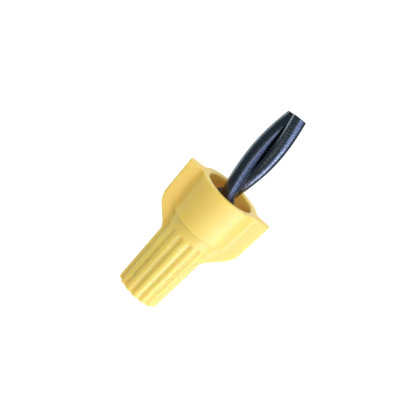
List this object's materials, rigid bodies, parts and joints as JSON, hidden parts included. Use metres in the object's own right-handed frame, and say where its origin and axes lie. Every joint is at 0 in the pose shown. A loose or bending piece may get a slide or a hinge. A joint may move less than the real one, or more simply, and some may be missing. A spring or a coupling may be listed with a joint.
{
  "type": "twist wire connector",
  "caption": "Winged twist-on wire connector with a fluted grip and an inner spring, screwed down on a twisted pair of short insulated stranded wires.",
  "frame": {"origin": "centre of the flat closed end of the shell, which the connector stands on", "axes": "+Z from the closed end to the mouth, where the wires leave; the wings lie along X; the front wire crosses on the -Y side of the mouth"},
  "size_m": [0.0194, 0.0132, 0.0465],
  "materials": {
    "shell_plastic": "satin",
    "spring_steel": "zinc plated",
    "nylon_sheath": "gloss",
    "wire_insulation": "satin",
    "copper_strand": "bright drawn copper"
  },
  "bodies": {
    "connector": {"shell": "shell_plastic"},
    "spring": {"spring": "spring_steel"},
    "wires": {"front_wire_nylon_sheath": "nylon_sheath", "front_wire_insulation": "wire_insulation", "front_wire_core_strand": "copper_strand", "front_wire_strand_1": "copper_strand", "front_wire_strand_2": "copper_strand", "front_wire_strand_3": "copper_strand", "front_wire_strand_4": "copper_strand", "front_wire_strand_5": "copper_strand", "front_wire_strand_6": "copper_strand", "rear_wire_nylon_sheath": "nylon_sheath", "rear_wire_insulation": "wire_insulation", "rear_wire_core_strand": "copper_strand", "rear_wire_strand_1": "copper_strand", "rear_wire_strand_2": "copper_strand", "rear_wire_strand_3": "copper_strand", "rear_wire_strand_4": "copper_strand", "rear_wire_strand_5": "copper_strand", "rear_wire_strand_6": "copper_strand"}
  },
  "joints": [
    {"name": "screw_turn", "type": "hinge", "parent": "connector", "child": "spring", "pos_m": [0, 0, 0], "axis": [0, 0, 1], "range_deg": [0, 3240]},
    {"name": "screw_travel", "type": "slide", "parent": "spring", "child": "wires", "axis": [0, 0, 1], "range_m": [0, 0.01125]}
  ],
  "couplings": [
    {"joint": "screw_turn", "follows": "screw_travel", "rad_per_m": 5026.5}
  ]
}
